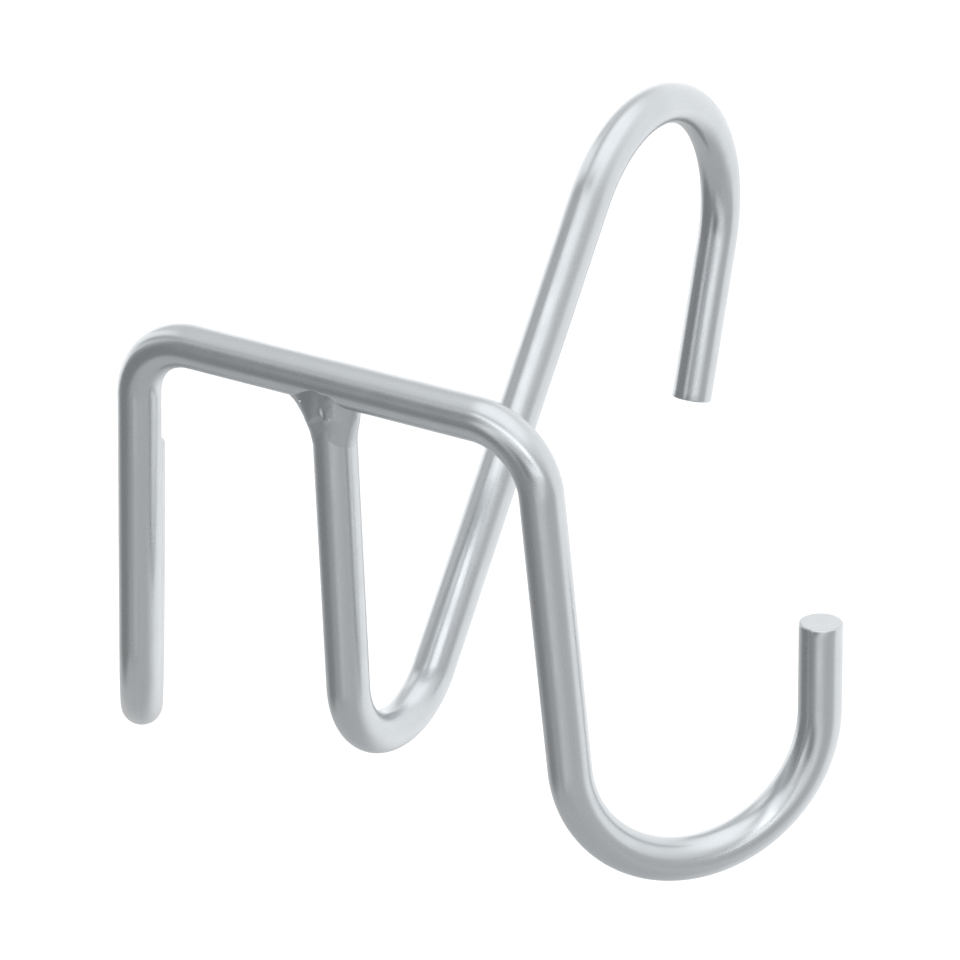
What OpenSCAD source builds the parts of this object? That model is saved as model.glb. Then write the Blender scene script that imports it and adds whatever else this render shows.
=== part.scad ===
// Ladder bucket hook: two bent round rods joined by one fillet weld.
// The rung hook at the top goes over a ladder rung, and the two side hooks
// at the bottom each carry a bucket by its bail.
// Millimetres, +Z up. +Y points to the rung hook's side, and X runs along
// the crossbar. The origin is the centre of the rung hook's bend, which is
// the axis of the largest round rung that the hook takes. The part is
// mirrored about the plane X = 0.

/* [Rod] */
// Diameter of the round rod that both pieces are bent from
rod_d = 9.5; // [6:0.5:13]
// Chamfer on the edge of each cut end
end_break = 0.4; // [0.1:0.1:1]

/* [Crossbar and legs] */
// Distance between the two leg axes, where they cross the crossbar's axis
bar_span = 100; // [80:1:140]
// Centreline radius of the bend at each end of the crossbar
corner_bend_r = 15.5; // [14:0.5:25]
// Angle that each leg leans outwards from vertical
leg_splay = 4.5; // [0:0.5:12]
// Length of each leg, from the crossbar's axis to the start of the side hook
leg_length = 78.5; // [60:1:120]

/* [Side hooks] */
// Centreline radius of each side hook's bend
side_hook_r = 29.5; // [22:0.5:40]
// Angle of each side hook's bend
side_hook_bend = 175; // [150:1:185]
// Angle that each side hook turns outwards from +Y, about its own leg
side_hook_turn = 35; // [0:1:60]
// Straight length of each side hook's tip, after the bend
side_tip = 20.5; // [8:1:40]

/* [Strut and arm] */
// Length of the strut, from the crossbar's axis to the start of the vee bend
strut_length = 73.5; // [55:1:100]
// Centreline radius of the vee bend
vee_bend_r = 19; // [14:0.5:30]
// Angle of the vee bend
vee_bend = 140.5; // [125:0.5:150]
// Straight length of the arm, between the vee bend and the rung hook
arm_length = 111.5; // [90:1:150]

/* [Rung hook] */
// Centreline radius of the rung hook's bend
rung_hook_r = 34; // [25:0.5:45]
// Angle of the rung hook's bend
rung_hook_bend = 160; // [140:1:180]
// Straight length of the return tip, after the bend
rung_tip = 39; // [15:1:60]

/* [Weld] */
// Height of the weld on the strut, below the crossbar's underside
weld_leg = 7.5; // [4:0.5:12]
// Reach of the weld along the crossbar at its heavy end, beyond the strut
weld_reach_left = 6; // [1:0.5:10]
// Reach of the weld along the crossbar at its light end, beyond the strut
weld_reach_right = 1.5; // [0.5:0.5:10]
// Lean of the weld's lower edge, which hangs lower at the heavy end
weld_lean = 24; // [0:1:35]
// Height of the weld's crown above the rods, at the front and the back
weld_crown = 0.6; // [0.2:0.1:1.5]
// Gap between the strut's square end and the crossbar, filled by the weld
root_gap = 0.4; // [0.2:0.1:1]

/* [Hidden] */
$fn = 96;
rod_r = rod_d / 2;
steel = [0.66, 0.68, 0.69];
weld_steel = [0.58, 0.60, 0.61];

// The corner bends through what is left of the right angle after the splay.
corner_bend = 90 - leg_splay;
corner_setback = corner_bend_r * tan(corner_bend / 2);
bar_straight = bar_span / 2 - corner_setback;
leg_straight = leg_length - corner_setback;

// A bend swells the rod by a hair, and each straight laps into it by this.
bend_swell = 0.03;
bend_lap = 0.3;

// The arm rises at this angle from vertical, towards +Y.
arm_tilt = 180 - vee_bend;

// Where the strut's axis meets the crossbar's, seen from the origin.
// Each step of the sum runs from there along the strut, round the vee bend,
// up the arm and in to the centre of the rung hook's bend.
joint_y = -(vee_bend_r * (1 + cos(arm_tilt))
    + arm_length * sin(arm_tilt)
    + rung_hook_r * cos(arm_tilt));
joint_z = strut_length
    + vee_bend_r * sin(arm_tilt)
    - arm_length * cos(arm_tilt)
    + rung_hook_r * sin(arm_tilt);

// The strut's square end, below the crossbar's axis.
strut_head = rod_r + root_gap;

// The weld is a stack of oval layers. Its lower edge stands this far off the
// strut, and this many layers make its flare.
weld_skin = 0.06;
weld_layers = 5;

// A straight length of rod up +Z. It runs on into the bend before it and
// the bend after it, and a cut end has its edge broken.
module straight(length, before, after) {
    low = before ? -bend_lap : 0;
    high = after ? length + bend_lap : length - end_break;
    translate([0, 0, low]) cylinder(h = high - low, r = rod_r);
    if (!after)
        translate([0, 0, high])
            cylinder(h = end_break, r1 = rod_r, r2 = rod_r - end_break);
}

// A bend that starts up +Z and curves towards +X.
module bend(radius, angle) {
    translate([radius, 0, 0]) rotate([90, 0, 180])
        rotate_extrude(angle = angle)
            translate([radius, 0]) circle(r = rod_r + bend_swell);
}

// Moves what follows to the far end of a bend.
module after_bend(radius, angle) {
    translate([radius * (1 - cos(angle)), 0, radius * sin(angle)])
        rotate([0, angle, 0]) children();
}

// A rod as a bending table, one row a stroke: feed this much straight rod,
// turn the rod this far about its own axis, then bend it at this radius
// through this angle. The last row is the cut end, and only feeds.
module bent_rod(table, i = 0) {
    row = table[i];
    last = i == len(table) - 1;
    straight(row[0], before = i > 0, after = !last);
    if (!last)
        translate([0, 0, row[0]]) rotate([0, 0, row[1]]) {
            bend(row[2], row[3]);
            after_bend(row[2], row[3]) bent_rod(table, i + 1);
        }
}

// Places what follows at the joint, with the crossbar along X.
module at_joint() {
    translate([0, joint_y, joint_z]) children();
}

// The crossbar with both legs and both side hooks, one rod bent from its
// middle outwards. Each half is the other's mirror image.
module crossbar_rod() {
    half = [
        [bar_straight, 0, corner_bend_r, corner_bend],
        [leg_straight, 90 + side_hook_turn, side_hook_r, side_hook_bend],
        [side_tip]
    ];
    color(steel) at_joint()
        for (side = [0, 1]) mirror([side, 0, 0])
            rotate([0, 90, 0]) bent_rod(half);
}

// The strut, the arm and the rung hook, one rod bent in the plane X = 0.
// The strut starts square, just below the crossbar.
module rung_hook_rod() {
    rod = [
        [strut_length - strut_head, 0, vee_bend_r, vee_bend],
        [arm_length, 180, rung_hook_r, rung_hook_bend],
        [rung_tip]
    ];
    color(steel) at_joint()
        translate([0, 0, -strut_head]) rotate([180, 0, 0]) rotate([0, 0, -90])
            bent_rod(rod);
}

// One oval layer of the weld, from its widest at t = 0, level with the
// crossbar's underside, down to its lower edge on the strut at t = 1.
module weld_layer(t) {
    flare = pow(1 - t, 2);
    lean = weld_lean * t;
    half_x = rod_r + weld_skin + flare * (weld_reach_left + weld_reach_right) / 2;
    half_y = rod_r + weld_skin + weld_crown * (1 - t);
    translate([flare * (weld_reach_right - weld_reach_left) / 2, 0, -rod_r - weld_leg * t])
        rotate([0, -lean, 0]) scale([half_x / cos(lean), half_y, 1])
            cylinder(h = 0.01, r = 1, $fn = 40);
}

// The weld's top layer, which dies out on the crossbar's front and back.
module weld_top() {
    translate([0, 0, -rod_r * 0.2]) scale([rod_r * 0.9, rod_r + weld_skin, 1])
        cylinder(h = 0.01, r = 1, $fn = 40);
}

// The fillet weld round the strut's head. It fills the gap over the strut's
// square end, and meets both rods face to face.
module weld_bead() {
    color(weld_steel) at_joint() difference() {
        union() {
            hull() {
                weld_top();
                weld_layer(0);
            }
            for (i = [0 : weld_layers - 1]) hull() {
                weld_layer(i / weld_layers);
                weld_layer((i + 1) / weld_layers);
            }
        }
        rotate([0, 90, 0]) cylinder(h = 4 * rod_d, r = rod_r, center = true);
        translate([0, 0, -rod_r - weld_leg * 2])
            cylinder(h = weld_leg * 2 - root_gap, r = rod_r);
    }
}

crossbar_rod();
rung_hook_rod();
weld_bead();
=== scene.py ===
"""Ladder bucket hook: two bent rods of zinc-plated steel, and the weld that joins them."""

import logging
import math
from dataclasses import dataclass, field
from enum import Enum
from typing import Any

import bpy
from mathutils import Matrix, Vector, noise


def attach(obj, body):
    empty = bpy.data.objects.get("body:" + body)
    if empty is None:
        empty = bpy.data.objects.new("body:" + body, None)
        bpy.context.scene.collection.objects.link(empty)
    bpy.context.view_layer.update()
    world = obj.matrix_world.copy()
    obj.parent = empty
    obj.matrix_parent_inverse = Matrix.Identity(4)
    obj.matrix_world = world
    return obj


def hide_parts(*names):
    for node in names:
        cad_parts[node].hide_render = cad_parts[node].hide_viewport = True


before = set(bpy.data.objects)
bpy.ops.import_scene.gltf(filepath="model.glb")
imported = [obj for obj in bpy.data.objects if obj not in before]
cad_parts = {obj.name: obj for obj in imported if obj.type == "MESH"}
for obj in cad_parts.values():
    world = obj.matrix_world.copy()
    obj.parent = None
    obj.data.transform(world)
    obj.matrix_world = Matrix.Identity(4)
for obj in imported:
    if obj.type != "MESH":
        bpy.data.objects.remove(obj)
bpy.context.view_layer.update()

LOG = logging.getLogger("ladder_bucket_hook")
# Lengths are in millimetres, and this turns them to metres.
MM = 0.001
# The radius of the round rod that both rods are bent from.
ROD_R = 4.75
# Where the strut's axis meets the crossbar's, from the centre of the rung hook's bend.
JOINT = Vector((0.0, -130.8188, 21.1760))
# The strut's square end stands this far below the crossbar's axis.
STRUT_HEAD = 5.15


# ---------------------------------------------------------------- small helpers


def linear(hex_colour: str) -> tuple[float, float, float, float]:
    """Turns an sRGB hex colour into linear RGBA.

    Args:
        hex_colour: Six hex digits, with or without a leading hash.

    Returns:
        The linear red, green and blue, and an alpha of 1.
    """
    digits = hex_colour.lstrip("#")
    channels = []
    for i in (0, 2, 4):
        c = int(digits[i : i + 2], 16) / 255
        channels.append(c / 12.92 if c <= 0.04045 else ((c + 0.055) / 1.055) ** 2.4)
    return (channels[0], channels[1], channels[2], 1.0)


def add_node(
    tree: bpy.types.NodeTree,
    kind: str,
    settings: dict[str, Any] | None = None,
    links: dict[str | int, Any] | None = None,
) -> bpy.types.Node:
    """Adds a node with its settings and links.

    Args:
        tree: The node tree that the node goes into.
        kind: The node's bl_idname, without its leading "ShaderNode".
        settings: Attributes to set on the node.
        links: For each input, its plain value or the output socket to link.

    Returns:
        The new node.
    """
    node = tree.nodes.new("ShaderNode" + kind)
    for name, value in (settings or {}).items():
        setattr(node, name, value)
    for name, value in (links or {}).items():
        if isinstance(value, bpy.types.NodeSocket):
            tree.links.new(value, node.inputs[name])
        else:
            node.inputs[name].default_value = value
    return node


def new_material(name: str) -> tuple[bpy.types.Material, bpy.types.NodeTree]:
    """Makes an empty node material.

    Args:
        name: The material's name.

    Returns:
        The material, and its node tree.
    """
    material = bpy.data.materials.new(name)
    material.use_nodes = True
    material.node_tree.nodes.clear()
    return material, material.node_tree


def mesh_object(
    name: str,
    points: list[Vector],
    faces: list[tuple[int, ...]],
    *materials: bpy.types.Material,
) -> bpy.types.Object:
    """Makes a smooth-shaded object from points in millimetres.

    Args:
        name: The piece's name.
        points: Its points, in the row's frame.
        faces: Its faces, counter-clockwise from outside.
        materials: The piece's finishes. All faces start with the first.

    Returns:
        The object, linked to the scene.
    """
    mesh = bpy.data.meshes.new(name)
    mesh.from_pydata([tuple(p * MM) for p in points], [], faces)
    mesh.validate()
    mesh.polygons.foreach_set("use_smooth", [True] * len(mesh.polygons))
    for material in materials:
        mesh.materials.append(material)
    piece = bpy.data.objects.new(name, mesh)
    bpy.context.scene.collection.objects.link(piece)
    return piece


# -------------------------------------------------------------------- finishes


@dataclass(frozen=True)
class ZincPlatedRod:
    """Drawn mild-steel rod, bent and then bright zinc plated.

    The plating is cool grey and satin. It follows the drawn surface, so long
    faint die lines run along the rod and round its bends, over slow clouds
    where the plating is a little duller.
    """

    name: str = "Zinc-plated drawn steel rod"
    bright: str = "#BBBFC2"
    dull: str = "#AFB3B6"
    smooth: float = 0.24
    rough: float = 0.32
    # Real die lines are finer. These are as coarse as they need to be to show.
    line_width_mm: float = 0.8
    line_length_mm: float = 40.0
    line_depth_mm: float = 0.015
    cloud_mm: float = 8.0
    grain_mm: float = 0.4
    grain_depth_mm: float = 0.004
    bump_strength: float = 0.3
    # The share of the wear that follows the lines. The rest follows the clouds.
    line_share: float = 0.4
    # The wear at which the skin is at its roughest and at its smoothest.
    wear_span: tuple[float, float] = (0.35, 0.65)

    def build(self) -> bpy.types.Material:
        """Builds the material on the rod's own coordinates.

        Returns:
            The material.
        """
        material, tree = new_material(self.name)
        place = add_node(tree, "Attribute", {"attribute_name": "rod_space"})
        lines_at = add_node(
            tree,
            "VectorMath",
            {"operation": "MULTIPLY"},
            {
                0: place.outputs["Vector"],
                1: (
                    1 / (self.line_width_mm * MM),
                    1 / (self.line_width_mm * MM),
                    1 / (self.line_length_mm * MM),
                ),
            },
        )
        lines = add_node(
            tree,
            "TexNoise",
            {},
            {"Vector": lines_at.outputs[0], "Scale": 1.0, "Detail": 3.0, "Roughness": 0.6},
        )
        clouds = add_node(
            tree,
            "TexNoise",
            {},
            {
                "Vector": place.outputs["Vector"],
                "Scale": 1 / (self.cloud_mm * MM),
                "Detail": 4.0,
                "Roughness": 0.55,
            },
        )
        grain = add_node(
            tree,
            "TexNoise",
            {},
            {
                "Vector": place.outputs["Vector"],
                "Scale": 1 / (self.grain_mm * MM),
                "Detail": 2.0,
            },
        )
        wear = add_node(
            tree,
            "Mix",
            {"data_type": "FLOAT"},
            {0: self.line_share, 2: clouds.outputs["Fac"], 3: lines.outputs["Fac"]},
        )
        colour = add_node(
            tree,
            "Mix",
            {"data_type": "RGBA"},
            {0: wear.outputs[0], 6: linear(self.dull), 7: linear(self.bright)},
        )
        roughness = add_node(
            tree,
            "MapRange",
            {},
            {
                "Value": wear.outputs[0],
                "From Min": self.wear_span[0],
                "From Max": self.wear_span[1],
                "To Min": self.rough,
                "To Max": self.smooth,
            },
        )
        line_bump = add_node(
            tree,
            "Bump",
            {},
            {
                "Strength": self.bump_strength,
                "Distance": self.line_depth_mm * MM,
                "Height": lines.outputs["Fac"],
            },
        )
        grain_bump = add_node(
            tree,
            "Bump",
            {},
            {
                "Strength": self.bump_strength,
                "Distance": self.grain_depth_mm * MM,
                "Height": grain.outputs["Fac"],
                "Normal": line_bump.outputs[0],
            },
        )
        shader = add_node(
            tree,
            "BsdfPrincipled",
            {},
            {
                "Base Color": colour.outputs[2],
                "Metallic": 1.0,
                "Roughness": roughness.outputs[0],
                "Normal": grain_bump.outputs[0],
            },
        )
        add_node(tree, "OutputMaterial", {}, {"Surface": shader.outputs[0]})
        return material


@dataclass(frozen=True)
class ZincPlatedCut:
    """A sawn end under the same bright zinc plating.

    The saw leaves fine straight scores right across the face. They scatter
    the light, so the face looks flatter than the rod's skin. Its paler colours
    are painted light, standing in for the light that the scores scatter.
    """

    name: str = "Zinc-plated sawn steel face"
    # These are paler than the rod's colours: painted light for the light that the saw
    # scores scatter.
    bright: str = "#CBCDCF"
    dull: str = "#C2C5C7"
    roughness: float = 0.42
    score_width_mm: float = 0.45
    score_length_mm: float = 9.0
    score_depth_mm: float = 0.02
    cloud_mm: float = 3.0
    bump_strength: float = 0.35

    def build(self) -> bpy.types.Material:
        """Builds the material on the rod's own coordinates.

        Returns:
            The material.
        """
        material, tree = new_material(self.name)
        place = add_node(tree, "Attribute", {"attribute_name": "rod_space"})
        scores_at = add_node(
            tree,
            "VectorMath",
            {"operation": "MULTIPLY"},
            {
                0: place.outputs["Vector"],
                1: (
                    1 / (self.score_width_mm * MM),
                    1 / (self.score_length_mm * MM),
                    0.0,
                ),
            },
        )
        scores = add_node(
            tree,
            "TexNoise",
            {},
            {"Vector": scores_at.outputs[0], "Scale": 1.0, "Detail": 3.0},
        )
        clouds = add_node(
            tree,
            "TexNoise",
            {},
            {
                "Vector": place.outputs["Vector"],
                "Scale": 1 / (self.cloud_mm * MM),
                "Detail": 3.0,
            },
        )
        colour = add_node(
            tree,
            "Mix",
            {"data_type": "RGBA"},
            {0: clouds.outputs["Fac"], 6: linear(self.dull), 7: linear(self.bright)},
        )
        bump = add_node(
            tree,
            "Bump",
            {},
            {
                "Strength": self.bump_strength,
                "Distance": self.score_depth_mm * MM,
                "Height": scores.outputs["Fac"],
            },
        )
        shader = add_node(
            tree,
            "BsdfPrincipled",
            {},
            {
                "Base Color": colour.outputs[2],
                "Metallic": 1.0,
                "Roughness": self.roughness,
                "Normal": bump.outputs[0],
            },
        )
        add_node(tree, "OutputMaterial", {}, {"Surface": shader.outputs[0]})
        return material


@dataclass(frozen=True)
class ZincPlatedWeld:
    """Weld metal under the same bright zinc plating.

    Its skin froze in place instead of being drawn through a die, so it is
    rougher than the rod, has no lines, and mirrors less. Its colours are also
    painted a little darker than the rod's, as painted shade on the weld in the
    corner under the crossbar.
    """

    name: str = "Zinc-plated steel weld"
    # These are a little darker than the rod's colours: painted shade on the weld under the
    # crossbar.
    bright: str = "#B5B9BC"
    dull: str = "#A7ABAE"
    smooth: float = 0.27
    rough: float = 0.38
    cloud_mm: float = 3.0
    grain_mm: float = 0.35
    grain_depth_mm: float = 0.03
    bump_strength: float = 0.4
    # The cloud at which the skin is at its roughest and at its smoothest.
    cloud_span: tuple[float, float] = (0.3, 0.7)

    def build(self) -> bpy.types.Material:
        """Builds the material on object coordinates.

        Returns:
            The material.
        """
        material, tree = new_material(self.name)
        place = add_node(tree, "TexCoord")
        clouds = add_node(
            tree,
            "TexNoise",
            {},
            {
                "Vector": place.outputs["Object"],
                "Scale": 1 / (self.cloud_mm * MM),
                "Detail": 4.0,
            },
        )
        grain = add_node(
            tree,
            "TexNoise",
            {},
            {
                "Vector": place.outputs["Object"],
                "Scale": 1 / (self.grain_mm * MM),
                "Detail": 3.0,
            },
        )
        colour = add_node(
            tree,
            "Mix",
            {"data_type": "RGBA"},
            {0: clouds.outputs["Fac"], 6: linear(self.dull), 7: linear(self.bright)},
        )
        roughness = add_node(
            tree,
            "MapRange",
            {},
            {
                "Value": clouds.outputs["Fac"],
                "From Min": self.cloud_span[0],
                "From Max": self.cloud_span[1],
                "To Min": self.rough,
                "To Max": self.smooth,
            },
        )
        bump = add_node(
            tree,
            "Bump",
            {},
            {
                "Strength": self.bump_strength,
                "Distance": self.grain_depth_mm * MM,
                "Height": grain.outputs["Fac"],
            },
        )
        shader = add_node(
            tree,
            "BsdfPrincipled",
            {},
            {
                "Base Color": colour.outputs[2],
                "Metallic": 1.0,
                "Roughness": roughness.outputs[0],
                "Normal": bump.outputs[0],
            },
        )
        add_node(tree, "OutputMaterial", {}, {"Surface": shader.outputs[0]})
        return material


# ------------------------------------------------------------------ bent rods


@dataclass(frozen=True)
class Stroke:
    """One row of a bending table: feed the rod, turn it about its axis, bend it.

    The turn and the bend's angle are in degrees. A stroke with no angle only feeds.
    """

    feed: float
    turn: float = 0.0
    radius: float = 0.0
    angle: float = 0.0


@dataclass
class Station:
    """A point on a rod's axis, with the directions that its ring is built on.

    Along is how far the point is from the rod's start, measured on the axis.
    """

    centre: Vector
    ahead: Vector
    side: Vector
    along: float

    def mirrored(self) -> "Station":
        """Mirrors the station in the plane X = 0, and turns it to face the other way."""
        flip = Vector((-1.0, 1.0, 1.0))
        return Station(
            self.centre * flip, self.ahead * flip * -1, self.side * flip, -self.along
        )


@dataclass
class BendingTable:
    """The strokes that bend a rod from one place, and the axis they give.

    Inward points to the middle of the first bend, before that stroke's turn. A
    step is the most that one station is ahead of the last, in millimetres on a
    straight and in degrees on a bend.
    """

    strokes: tuple[Stroke, ...]
    start: Vector
    ahead: Vector
    inward: Vector
    straight_step: float = 2.0
    bend_step: float = 2.5

    def stations(self) -> list[Station]:
        """Walks the table.

        Returns:
            The stations on the rod's axis, from its start to its cut end.
        """
        here, ahead, inward = self.start.copy(), self.ahead.copy(), self.inward.copy()
        side, along = self.inward.copy(), 0.0
        walk = [Station(here.copy(), ahead.copy(), side.copy(), along)]
        for stroke in self.strokes:
            steps = max(1, math.ceil(stroke.feed / self.straight_step))
            for i in range(1, steps + 1):
                fed = stroke.feed * i / steps
                walk.append(
                    Station(here + ahead * fed, ahead.copy(), side.copy(), along + fed)
                )
            here, along = here + ahead * stroke.feed, along + stroke.feed
            if not stroke.angle:
                continue
            inward = Matrix.Rotation(math.radians(stroke.turn), 3, ahead) @ inward
            hinge = ahead.cross(inward)
            middle = here + inward * stroke.radius
            spoke, ahead_in, side_in = here - middle, ahead.copy(), side.copy()
            steps = math.ceil(stroke.angle / self.bend_step)
            for i in range(1, steps + 1):
                turned = math.radians(stroke.angle) * i / steps
                swing = Matrix.Rotation(turned, 3, hinge)
                here, ahead = middle + swing @ spoke, swing @ ahead_in
                side = swing @ side_in
                reach = along + turned * stroke.radius
                walk.append(Station(here.copy(), ahead.copy(), side.copy(), reach))
            inward = Matrix.Rotation(math.radians(stroke.angle), 3, hinge) @ inward
            along += math.radians(stroke.angle) * stroke.radius
        return walk


class RodEnd(Enum):
    """How one end of a rod is finished."""

    CUT = "cut square, with its edge broken"
    BURIED = "left square, inside the weld"


@dataclass
class RoundRod:
    """A round rod swept along its stations, as one closed mesh."""

    stations: list[Station]
    first_end: RodEnd = RodEnd.CUT
    last_end: RodEnd = RodEnd.CUT
    ring_points: int = 72
    edge_break: float = 0.4
    buried_break: float = 0.1
    break_rings: int = 4
    # The rings that close a face, as shares of its radius.
    cap_rings: tuple[float, ...] = (0.985, 0.9, 0.7, 0.4)

    def end_rings(self, way: float) -> list[tuple[float, float]]:
        """Lists the rings that close an end.

        Args:
            way: 1 at the last end and -1 at the first.

        Returns:
            For each ring, how far along the rod it stands from the end station
            and its radius, from the rod's skin to near its axis.
        """
        kind = self.last_end if way > 0 else self.first_end
        worn = self.edge_break if kind is RodEnd.CUT else self.buried_break
        rings = []
        for i in range(self.break_rings + 1):
            turn = math.pi / 2 * i / self.break_rings
            rings.append(
                (-way * worn * (1 - math.sin(turn)), ROD_R - worn * (1 - math.cos(turn)))
            )
        face = ROD_R - worn
        rings.extend((0.0, face * share) for share in self.cap_rings)
        return rings

    def build(
        self, name: str, finish: bpy.types.Material, cut: bpy.types.Material
    ) -> bpy.types.Object:
        """Sweeps the rod.

        Args:
            name: The piece's name.
            finish: The finish of its skin.
            cut: The finish of its end faces.

        Returns:
            The rod, with its own coordinates stored as rod_space.
        """
        inner = self.stations[1:-1]
        rows: list[tuple[Station, float, float]] = []
        first, last = self.stations[0], self.stations[-1]
        rows.extend((first, push, r) for push, r in reversed(self.end_rings(-1)))
        rows.extend((station, 0.0, ROD_R) for station in inner)
        rows.extend((last, push, r) for push, r in self.end_rings(1))
        points: list[Vector] = [first.centre]
        space: list[tuple[float, float, float]] = [(0.0, 0.0, first.along)]
        count = self.ring_points
        for station, push, radius in rows:
            up = station.ahead.cross(station.side)
            at = station.centre + station.ahead * push
            for k in range(count):
                c, s = math.cos(2 * math.pi * k / count), math.sin(2 * math.pi * k / count)
                points.append(at + (station.side * c + up * s) * radius)
                space.append((radius * c, radius * s, station.along + push))
        points.append(last.centre)
        space.append((0.0, 0.0, last.along))
        tip = len(points) - 1
        faces: list[tuple[int, ...]] = []
        is_cut: list[int] = []
        cap, bands = len(self.cap_rings), len(rows) - 1
        on_cap = [int(row < cap or row >= bands - cap) for row in range(bands)]
        for k in range(count):
            nxt = (k + 1) % count
            faces.append((0, 1 + nxt, 1 + k))
            for row in range(bands):
                a, b = 1 + row * count, 1 + (row + 1) * count
                faces.append((a + k, a + nxt, b + nxt, b + k))
            a = 1 + bands * count
            faces.append((a + k, a + nxt, tip))
            is_cut.extend([1, *on_cap, 1])
        piece = mesh_object(name, points, faces, finish, cut)
        piece.data.polygons.foreach_set("material_index", is_cut)
        own = piece.data.attributes.new("rod_space", "FLOAT_VECTOR", "POINT")
        own.data.foreach_set("vector", [v * MM for triple in space for v in triple])
        return piece


@dataclass
class CrossbarRod:
    """The crossbar, both legs and both side hooks: one rod, bent from its middle."""

    bar_span: float = 100.0
    corner_bend_r: float = 15.5
    leg_splay: float = 4.5
    leg_length: float = 78.5
    side_hook_r: float = 29.5
    side_hook_bend: float = 175.0
    side_hook_turn: float = 35.0
    side_tip: float = 20.5

    def right_half(self) -> BendingTable:
        """Writes the bending table of the half on +X.

        Returns:
            The table, from the crossbar's middle to the right hook's tip.
        """
        bend = 90 - self.leg_splay
        setback = self.corner_bend_r * math.tan(math.radians(bend / 2))
        return BendingTable(
            (
                Stroke(self.bar_span / 2 - setback, 0, self.corner_bend_r, bend),
                Stroke(
                    self.leg_length - setback,
                    90 + self.side_hook_turn,
                    self.side_hook_r,
                    self.side_hook_bend,
                ),
                Stroke(self.side_tip),
            ),
            JOINT,
            Vector((1.0, 0.0, 0.0)),
            Vector((0.0, 0.0, -1.0)),
        )

    def build(
        self, finish: bpy.types.Material, cut: bpy.types.Material
    ) -> list[bpy.types.Object]:
        """Builds the rod, from the left hook's tip to the right hook's.

        Args:
            finish: The finish of its skin.
            cut: The finish of its end faces.

        Returns:
            The rod.
        """
        right = self.right_half().stations()
        left = [station.mirrored() for station in reversed(right[1:])]
        piece = RoundRod(left + right).build("Crossbar_rod", finish, cut)
        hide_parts("crossbar_rod")
        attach(piece, "root")
        return [piece]


@dataclass
class RungHookRod:
    """The strut, the arm and the rung hook: one rod, bent in the plane X = 0."""

    strut_length: float = 73.5
    vee_bend_r: float = 19.0
    vee_bend: float = 140.5
    arm_length: float = 111.5
    rung_hook_r: float = 34.0
    rung_hook_bend: float = 160.0
    rung_tip: float = 39.0

    def table(self) -> BendingTable:
        """Writes the bending table.

        Returns:
            The table, from the strut's square end to the return's tip.
        """
        return BendingTable(
            (
                Stroke(self.strut_length - STRUT_HEAD, 0, self.vee_bend_r, self.vee_bend),
                Stroke(self.arm_length, 180, self.rung_hook_r, self.rung_hook_bend),
                Stroke(self.rung_tip),
            ),
            JOINT - Vector((0.0, 0.0, STRUT_HEAD)),
            Vector((0.0, 0.0, -1.0)),
            Vector((0.0, 1.0, 0.0)),
        )

    def build(
        self, finish: bpy.types.Material, cut: bpy.types.Material
    ) -> list[bpy.types.Object]:
        """Builds the rod, from its square end in the weld to the return's tip.

        Args:
            finish: The finish of its skin.
            cut: The finish of its end faces.

        Returns:
            The rod.
        """
        piece = RoundRod(self.table().stations(), first_end=RodEnd.BURIED).build(
            "Rung_hook_rod", finish, cut
        )
        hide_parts("rung_hook_rod")
        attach(piece, "root")
        return [piece]


# ----------------------------------------------------------------------- weld


@dataclass(frozen=True)
class Dimple:
    """A small lump or hollow in the weld's front.

    Its middle is measured from the joint, its half width and half height along
    its own lean, which is in degrees, and its height out from the skin.
    """

    x: float
    z: float
    wide: float
    tall: float
    lean: float
    height: float

    def lift(self, x: float, z: float) -> float:
        """Finds how far the dimple lifts the skin at a place on the front.

        Args:
            x: The place along the crossbar.
            z: The place's height.

        Returns:
            The lift, below 0 where the dimple is a hollow.
        """
        c, s = math.cos(math.radians(self.lean)), math.sin(math.radians(self.lean))
        u = ((x - self.x) * c + (z - self.z) * s) / self.wide
        v = (-(x - self.x) * s + (z - self.z) * c) / self.tall
        return self.height * math.exp(-(u * u + v * v))


@dataclass(frozen=True)
class Spatter:
    """A drop of metal that froze on to the weld's skin as a small ball.

    It is made of points around its upright axis, on rings from pole to pole.
    """

    at: tuple[float, float, float]
    radius: float
    around: int = 20
    rings: int = 11

    def shell(self, first: int) -> tuple[list[Vector], list[tuple[int, ...]]]:
        """Makes the ball as a closed shell.

        Args:
            first: The number of its first point.

        Returns:
            Its points and its faces.
        """
        middle = Vector(self.at)
        points = [middle + Vector((0.0, 0.0, self.radius))]
        for i in range(1, self.rings):
            fall = math.pi * i / self.rings
            for k in range(self.around):
                turn = 2 * math.pi * k / self.around
                spoke = Vector((math.cos(turn), math.sin(turn), 0.0)) * math.sin(fall)
                rise = Vector((0.0, 0.0, math.cos(fall)))
                points.append(middle + (spoke + rise) * self.radius)
        points.append(middle - Vector((0.0, 0.0, self.radius)))
        last = first + len(points) - 1
        faces: list[tuple[int, ...]] = []
        for k in range(self.around):
            nxt = (k + 1) % self.around
            faces.append((first, first + 1 + k, first + 1 + nxt))
            for i in range(self.rings - 2):
                a, b = first + 1 + i * self.around, first + 1 + (i + 1) * self.around
                faces.append((a + k, b + k, b + nxt, a + nxt))
            a = first + 1 + (self.rings - 2) * self.around
            faces.append((a + k, last, a + nxt))
        return points, faces


@dataclass(frozen=True)
class WeldSide:
    """How far the weld runs on one of its sides, and how full it is there.

    Toe and foot are where it dies out on the crossbar and on the strut: how far
    along the crossbar, and at what height. On the face, the toe is the angle
    round the crossbar from straight below, in degrees. The pulls say how close
    to the corner between the rods its skin stays, and the crown thickens its
    middle.
    """

    toe: float
    foot: float
    toe_pull: float
    foot_pull: float
    crown: float


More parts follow.
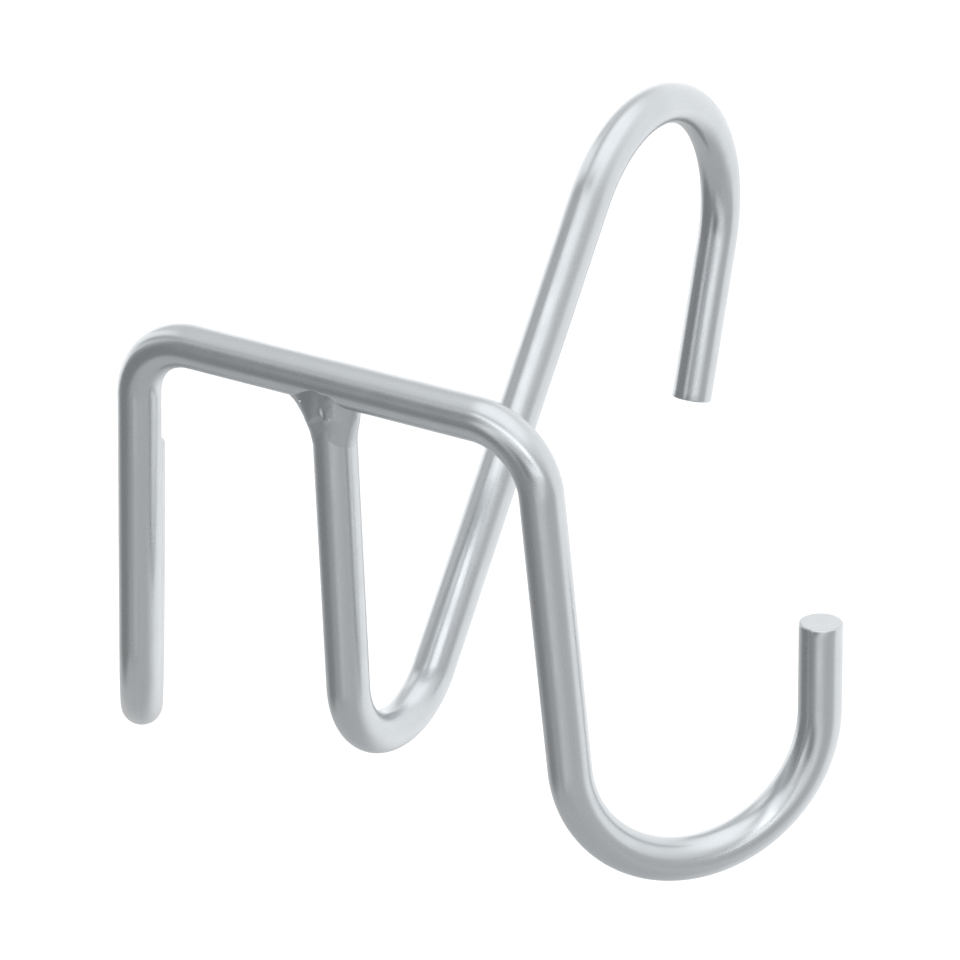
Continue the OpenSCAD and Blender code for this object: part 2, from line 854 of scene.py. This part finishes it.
@dataclass
class WeldBead:
    """The fillet weld round the strut's head.

    Its skin leaves the crossbar level with its round side, and settles on the
    strut the same way, so it flows from one rod into the other.
    """

    # Toe, foot, toe pull, foot pull and crown.
    heavy: WeldSide = WeldSide(13.6, -16.6, 0.55, 0.56, 0.40)
    light: WeldSide = WeldSide(6.9, -14.8, 0.42, 0.40, 0.60)
    face: WeldSide = WeldSide(102.0, -13.1, 0.50, 0.35, 0.15)
    # How quickly the toe climbs the crossbar from each end to the face.
    heavy_sweep: float = 2.5
    light_sweep: float = 2.2
    # How quickly the heavy end narrows along the crossbar.
    heavy_pinch: float = 1.3
    # How far the skin is filled out on the way from the heavy end to the face.
    heavy_shoulder: float = 0.45
    # Its edges end this far inside the rods, and its hidden sides this far.
    sink: float = 0.05
    bite: float = 0.2
    ring_points: int = 240
    rows: int = 56
    ripple: float = 0.05
    ripple_mm: float = 2.6
    # The ripple's roughness, how much finer each octave is, and its octaves.
    ripple_octaves: tuple[float, float, int] = (0.6, 2.0, 3)
    # How soon the ripple and the dimples reach their full height from each edge.
    fade_in: float = 4.0
    # The rings of the hidden side against the crossbar, as shares of the toe's.
    hidden_rings: tuple[float, ...] = (1.0, 0.7, 0.4, 0.1)
    # The pit's raised rim, the pit in it, and the bump beside them: x, z, half
    # width, half height, lean and height.
    dimples: tuple[Dimple, ...] = (
        Dimple(0.25, -5.0, 0.85, 1.20, 15, 0.20),
        Dimple(0.45, -5.0, 0.40, 0.80, 15, -0.55),
        Dimple(1.60, -6.3, 0.60, 0.75, 35, 0.22),
    )
    spatter: tuple[Spatter, ...] = (Spatter((-5.50, -4.30, -3.92), 0.50),)

    def meridian(self, turn: float) -> list[Vector]:
        """Runs the skin from its toe on the crossbar to its foot on the strut.

        Args:
            turn: The direction round the strut, from the light end.

        Returns:
            The points of the curve.
        """
        c, s = math.cos(turn), math.sin(turn)
        end = self.light if c > 0 else self.heavy
        pinch = 1.0 if c > 0 else self.heavy_pinch
        sweep = self.light_sweep if c > 0 else self.heavy_sweep
        skin = ROD_R - self.sink
        rise = math.radians(self.face.toe) * math.copysign(abs(s) ** sweep, s)
        toe = Vector(
            (
                math.copysign(abs(c) ** pinch, c) * end.toe,
                skin * math.sin(rise),
                -skin * math.cos(rise),
            )
        )
        corner = Vector((skin * c, skin * s, -skin * abs(c)))
        foot = Vector((skin * c, skin * s, c * c * end.foot + s * s * self.face.foot))
        toe_pull = c * c * end.toe_pull + s * s * self.face.toe_pull
        foot_pull = c * c * end.foot_pull + s * s * self.face.foot_pull
        crown = c * c * end.crown + s * s * self.face.crown
        # c**2 * s**6 is at most 27 / 256, which it is 60 degrees from the heavy end.
        share = c**2 * s**6 * 256 / 27
        shoulder = 0.0 if c > 0 else self.heavy_shoulder * share
        near_toe = toe + (corner - toe) * toe_pull
        near_foot = foot + (corner - foot) * foot_pull
        curve = []
        for row in range(self.rows):
            t = row / (self.rows - 1)
            u = 1 - t
            at = toe * u**3 + near_toe * (3 * u * u * t) + near_foot * (3 * u * t * t)
            at += foot * t**3
            fill = (crown + shoulder) * math.sin(math.pi * t) ** 2
            curve.append(at + Vector((c, s, 0.0)) * fill)
        return curve

    def skin(self) -> list[list[Vector]]:
        """Lays out the weld's outer skin.

        Returns:
            Its rings of points, from the crossbar down.
        """
        step = 2 * math.pi / self.ring_points
        curves = [self.meridian(k * step) for k in range(self.ring_points)]
        return [[curve[row] for curve in curves] for row in range(self.rows)]

    def roughened(self, rings: list[list[Vector]]) -> list[list[Vector]]:
        """Adds the skin's ripple and dimples, which die out at both edges.

        Args:
            rings: The skin's rings of points, from the crossbar down.

        Returns:
            The roughened rings.
        """
        count = self.ring_points
        result = [list(rings[0])]
        for row in range(1, len(rings) - 1):
            along = math.sin(math.pi * row / (len(rings) - 1))
            fade = min(1.0, self.fade_in * along**2)
            new = []
            for k in range(count):
                p = rings[row][k]
                across = rings[row][(k + 1) % count] - rings[row][k - 1]
                down = rings[row + 1][k] - rings[row - 1][k]
                out = down.cross(across).normalized()
                lift = self.ripple * noise.fractal(p / self.ripple_mm, *self.ripple_octaves)
                if p.y < 0:
                    lift += sum(d.lift(p.x, p.z) for d in self.dimples)
                new.append(p + out * (lift * fade))
            result.append(new)
        result.append(list(rings[-1]))
        return result

    def build(self, finish: bpy.types.Material) -> list[bpy.types.Object]:
        """Builds the weld, whose hidden sides bite a little way into both rods.

        Args:
            finish: The weld's finish.

        Returns:
            The weld, with its spatter.
        """
        rings = self.roughened(self.skin())
        inner = ROD_R - self.bite
        top_toe, low_toe = rings[0], rings[-1]
        tail_z = -STRUT_HEAD - self.bite
        above = []
        for share in self.hidden_rings:
            ring = []
            for p in top_toe:
                rise = math.atan2(p.y, -p.z) * share
                ring.append(
                    Vector((p.x * share, inner * math.sin(rise), -inner * math.cos(rise)))
                )
            above.append(ring)
        spokes = [Vector((p.x, p.y)).normalized() * inner for p in low_toe]
        below = [
            [Vector((spoke.x, spoke.y, p.z)) for spoke, p in zip(spokes, low_toe)],
            [Vector((spoke.x, spoke.y, tail_z)) for spoke in spokes],
        ]
        every = list(reversed(above)) + rings + below
        count = self.ring_points
        points = [Vector((0.0, 0.0, -inner))] + [p for ring in every for p in ring]
        points.append(Vector((0.0, 0.0, tail_z)))
        tail = len(points) - 1
        faces: list[tuple[int, ...]] = []
        for k in range(count):
            nxt = (k + 1) % count
            faces.append((0, 1 + k, 1 + nxt))
            for row in range(len(every) - 1):
                a, b = 1 + row * count, 1 + (row + 1) * count
                faces.append((a + k, b + k, b + nxt, a + nxt))
            a = 1 + (len(every) - 1) * count
            faces.append((a + k, tail, a + nxt))
        for drop in self.spatter:
            ball_points, ball_faces = drop.shell(len(points))
            points.extend(ball_points)
            faces.extend(ball_faces)
        piece = mesh_object("Weld_bead", [JOINT + p for p in points], faces, finish)
        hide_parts("weld_bead")
        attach(piece, "root")
        return [piece]


# --------------------------------------------------------------------- studio


def facing(azimuth: float, elevation: float, tilt: float) -> tuple[Vector, Vector, Vector]:
    """Finds the axes of something that faces the part from a direction.

    Args:
        azimuth: How far round it is from the front, towards +X, in degrees.
        elevation: How far above the level it is, in degrees.
        tilt: How far it is turned about the line to the part, in degrees.

    Returns:
        Its right and up directions, and the way out to it.
    """
    az, el = math.radians(azimuth), math.radians(elevation)
    out = Vector((math.sin(az) * math.cos(el), -math.cos(az) * math.cos(el), math.sin(el)))
    level_right = Vector((math.cos(az), math.sin(az), 0.0))
    level_up = out.cross(level_right)
    c, s = math.cos(math.radians(tilt)), math.sin(math.radians(tilt))
    return level_right * c + level_up * s, level_up * c - level_right * s, out


@dataclass(frozen=True)
class SoftCard:
    """A card or lamp with round corners, as the part sees it.

    Its place, half sizes and tilt are angles in degrees from the part. Softness
    is the share of its half size over which its edge fades. Its level is how
    bright it is, where 1 shows a colour as it is written.
    """

    azimuth: float
    elevation: float
    half_width: float
    half_height: float
    tilt: float
    softness: float
    level: float

    def axes(self) -> tuple[Vector, Vector, Vector]:
        """Gives the card's right and up directions, and the way out to its middle."""
        return facing(self.azimuth, self.elevation, self.tilt)


@dataclass
class Studio:
    """The pale floor, the lamps, the white room and the camera."""

    # The floor's height and half width are in millimetres. What the lamps aim at,
    # how far off they hang, and the camera's place are in metres.
    aim: Vector = field(default_factory=lambda: Vector((0.0, -0.045, -0.02)))
    floor_z: float = -300.0
    floor_half: float = 4000.0
    floor_colour: str = "#E9EAEB"
    lamp_distance: float = 3.0
    camera_at: Vector = field(
        default_factory=lambda: Vector((0.486972, -0.820265, 0.433922))
    )
    azimuth: float = 33.1818
    elevation: float = 27.3907
    roll: float = -2.0908
    lens: float = 167.977
    sensor: float = 36.0
    clip: tuple[float, float] = (0.05, 50.0)
    # The power of the oval that rounds the cards' corners.
    card_oval: float = 4.0
    # The room: a pale floor below, paler walls and a bright ceiling. The floor
    # turns to wall, and the wall to ceiling, between these elevations in degrees.
    floor_level: float = 0.75
    wall_level: float = 1.19
    ceiling_level: float = 1.79
    skirting: tuple[float, float] = (3.7, 36.5)
    cornice: tuple[float, float] = (35.7, 62.4)
    # Azimuth, elevation, half width, half height, tilt, softness and level.
    cards: dict[str, SoftCard] = field(
        default_factory=lambda: {
            "rear wall": SoftCard(-152.3, 4.0, 46.6, 18.0, -22.6, 0.25, 1.57),
            "right wall": SoftCard(146.4, -8.2, 50.6, 50.8, -29.6, 0.44, 1.46),
            "left window": SoftCard(-94.0, 15.1, 18.0, 37.6, -29.8, 0.14, 1.62),
            "curtain rail": SoftCard(-64.7, 37.0, 42.6, 6.2, 43.1, 0.45, 0.50),
            "left doorway": SoftCard(-44.1, -10.9, 43.9, 22.9, 18.2, 0.15, 0.38),
            "left curtain": SoftCard(-42.0, 7.0, 13.5, 42.0, -20.7, 0.40, 0.38),
            "right curtain": SoftCard(69.9, 5.6, 19.0, 44.8, 43.1, 0.20, 0.75),
            "front reflector": SoftCard(2.2, 6.7, 24.2, 18.8, 23.8, 0.12, 1.80),
            "camera stand": SoftCard(6.5, -11.5, 19.5, 22.4, 3.2, 0.53, 0.25),
            "low reflector": SoftCard(30.5, -14.6, 30.3, 8.4, 26.8, 0.64, 1.30),
            "camera bench": SoftCard(19.9, 16.4, 22.2, 3.1, -11.2, 0.50, 0.41),
            "low strip": SoftCard(46.5, 9.4, 26.4, 3.3, 4.3, 0.13, 2.52),
            "front beam": SoftCard(-7.8, 57.8, 22.3, 7.0, 7.2, 0.74, 0.67),
            "high curtain": SoftCard(-93.5, 55.7, 44.3, 7.6, 9.4, 0.90, 0.89),
        }
    )
    lamps: dict[str, SoftCard] = field(
        default_factory=lambda: {
            "Top_front_lamp": SoftCard(12.5, 43.0, 33.0, 6.8, -20.5, 0.0, 1.15),
            "Right_front_lamp": SoftCard(48.5, 25.8, 5.1, 15.3, 53.4, 0.0, 1.50),
        }
    )

    def add_camera(self) -> bpy.types.Object:
        """Sets the camera by its place, angles and roll.

        Returns:
            The camera.
        """
        right, up, back = facing(self.azimuth, self.elevation, self.roll)
        data = bpy.data.cameras.new("Camera")
        data.lens, data.sensor_width = self.lens, self.sensor
        data.clip_start, data.clip_end = self.clip
        camera = bpy.data.objects.new("Camera", data)
        turn = Matrix((right, up, back)).transposed().to_4x4()
        camera.matrix_world = Matrix.Translation(self.camera_at) @ turn
        bpy.context.scene.collection.objects.link(camera)
        bpy.context.scene.camera = camera
        return camera

    def add_lamp(self, name: str, card: SoftCard) -> bpy.types.Object:
        """Hangs one rectangular lamp, facing the part.

        Args:
            name: The lamp's name.
            card: Its place, size and level, as the part sees it.

        Returns:
            The lamp.
        """
        right, up, out = card.axes()
        lamp = bpy.data.lights.new(name, "AREA")
        lamp.shape = "RECTANGLE"
        lamp.size = 2 * self.lamp_distance * math.tan(math.radians(card.half_width))
        lamp.size_y = 2 * self.lamp_distance * math.tan(math.radians(card.half_height))
        # An area lamp of this power has the card's level over its whole face.
        lamp.energy = card.level * math.pi * lamp.size * lamp.size_y
        hung = bpy.data.objects.new(name, lamp)
        turn = Matrix((right, up, out)).transposed().to_4x4()
        hung.matrix_world = Matrix.Translation(self.aim + out * self.lamp_distance) @ turn
        bpy.context.scene.collection.objects.link(hung)
        return hung

    def card_mask(
        self, tree: bpy.types.NodeTree, look: bpy.types.NodeSocket, card: SoftCard
    ) -> bpy.types.NodeSocket:
        """Finds how much of a card lies in each direction.

        Args:
            tree: The world's node tree.
            look: The direction, as a unit vector.
            card: The card.

        Returns:
            The mask, from 0 off the card to 1 on it.
        """
        right, up, out = card.axes()
        dots = [
            add_node(
                tree, "VectorMath", {"operation": "DOT_PRODUCT"}, {0: look, 1: tuple(axis)}
            ).outputs["Value"]
            for axis in (right, up, out)
        ]
        turn = add_node(tree, "Math", {"operation": "ARCTAN2"}, {0: dots[0], 1: dots[2]})
        rise = add_node(tree, "Math", {"operation": "ARCSINE"}, {0: dots[1]})
        parts = []
        for angle, half in ((turn, card.half_width), (rise, card.half_height)):
            share = add_node(
                tree,
                "Math",
                {"operation": "DIVIDE"},
                {0: angle.outputs[0], 1: math.radians(half)},
            )
            parts.append(
                add_node(
                    tree,
                    "Math",
                    {"operation": "POWER"},
                    {0: share.outputs[0], 1: self.card_oval},
                )
            )
        total = add_node(
            tree,
            "Math",
            {"operation": "ADD"},
            {0: parts[0].outputs[0], 1: parts[1].outputs[0]},
        )
        reach = add_node(
            tree,
            "Math",
            {"operation": "POWER"},
            {0: total.outputs[0], 1: 1 / self.card_oval},
        )
        mask = add_node(
            tree,
            "MapRange",
            {"interpolation_type": "SMOOTHSTEP"},
            {
                "Value": reach.outputs[0],
                "From Min": 1 - card.softness,
                "From Max": 1 + card.softness,
                "To Min": 1.0,
                "To Max": 0.0,
            },
        )
        return mask.outputs[0]

    def add_world(self) -> None:
        """Fills the room with its floor, walls, ceiling and soft cards."""
        world = bpy.data.worlds.new("Studio")
        # The room is smooth, so the surfaces' own rays find it well enough.
        world.cycles.sampling_method = "NONE"
        bpy.context.scene.world = world
        world.use_nodes = True
        tree = world.node_tree
        tree.nodes.clear()
        place = add_node(tree, "TexCoord")
        look = add_node(
            tree, "VectorMath", {"operation": "NORMALIZE"}, {0: place.outputs["Generated"]}
        ).outputs[0]
        height = add_node(tree, "SeparateXYZ", {}, {0: look}).outputs["Z"]
        climb = add_node(tree, "Math", {"operation": "ARCSINE"}, {0: height}).outputs[0]
        walls = add_node(
            tree,
            "MapRange",
            {"interpolation_type": "SMOOTHSTEP"},
            {
                "Value": climb,
                "From Min": math.radians(self.skirting[0]),
                "From Max": math.radians(self.skirting[1]),
                "To Min": self.floor_level,
                "To Max": self.wall_level,
            },
        )
        overhead = add_node(
            tree,
            "MapRange",
            {"interpolation_type": "SMOOTHSTEP"},
            {
                "Value": climb,
                "From Min": math.radians(self.cornice[0]),
                "From Max": math.radians(self.cornice[1]),
            },
        )
        level = add_node(
            tree,
            "Mix",
            {"data_type": "FLOAT"},
            {0: overhead.outputs[0], 2: walls.outputs[0], 3: self.ceiling_level},
        ).outputs[0]
        for card in self.cards.values():
            level = add_node(
                tree,
                "Mix",
                {"data_type": "FLOAT"},
                {0: self.card_mask(tree, look, card), 2: level, 3: card.level},
            ).outputs[0]
        # The camera sees plain white. The metal mirrors the room, which is about
        # as bright, and its cards, which give the rods their bands.
        light = add_node(tree, "LightPath")
        white = linear("#FFFFFF")
        room = add_node(tree, "Background", {}, {"Color": white, "Strength": level})
        seen = add_node(tree, "Background", {}, {"Color": white, "Strength": 1.0})
        both = add_node(
            tree,
            "MixShader",
            {},
            {0: light.outputs["Is Camera Ray"], 1: room.outputs[0], 2: seen.outputs[0]},
        )
        add_node(tree, "OutputWorld", {}, {"Surface": both.outputs[0]})

    def add_floor(self) -> bpy.types.Object:
        """Lays the plain pale floor.

        Returns:
            The floor.
        """
        material, tree = new_material("Pale studio floor")
        paper = add_node(tree, "BsdfDiffuse", {}, {"Color": linear(self.floor_colour)})
        add_node(tree, "OutputMaterial", {}, {"Surface": paper.outputs[0]})
        h, z = self.floor_half, self.floor_z
        corners = [Vector((x, y, z)) for x, y in ((-h, -h), (h, -h), (h, h), (-h, h))]
        floor = mesh_object("Floor", corners, [(0, 1, 2, 3)], material)
        # The metal mirrors the room's own floor instead.
        floor.visible_glossy = False
        return floor

    def build(self) -> None:
        """Builds the whole studio."""
        self.add_camera()
        self.add_world()
        self.add_floor()
        for name, card in self.lamps.items():
            self.add_lamp(name, card)


# ------------------------------------------------------------------------ main


def main() -> None:
    """Builds the studio and the three pieces, and logs each piece's points, faces and
    finish.
    """
    logging.basicConfig(level=logging.INFO, format="%(name)s: %(message)s")
    bpy.context.scene.view_settings.view_transform = "Standard"
    Studio().build()
    rod_finish = ZincPlatedRod().build()
    cut_finish = ZincPlatedCut().build()
    weld_finish = ZincPlatedWeld().build()
    pieces = (
        CrossbarRod().build(rod_finish, cut_finish)
        + RungHookRod().build(rod_finish, cut_finish)
        + WeldBead().build(weld_finish)
    )
    for piece in pieces:
        LOG.info(
            "%s: %d points, %d faces, finish %s",
            piece.name,
            len(piece.data.vertices),
            len(piece.data.polygons),
            piece.data.materials[0].name,
        )
    bpy.context.view_layer.update()


if __name__ == "__main__":
    main()
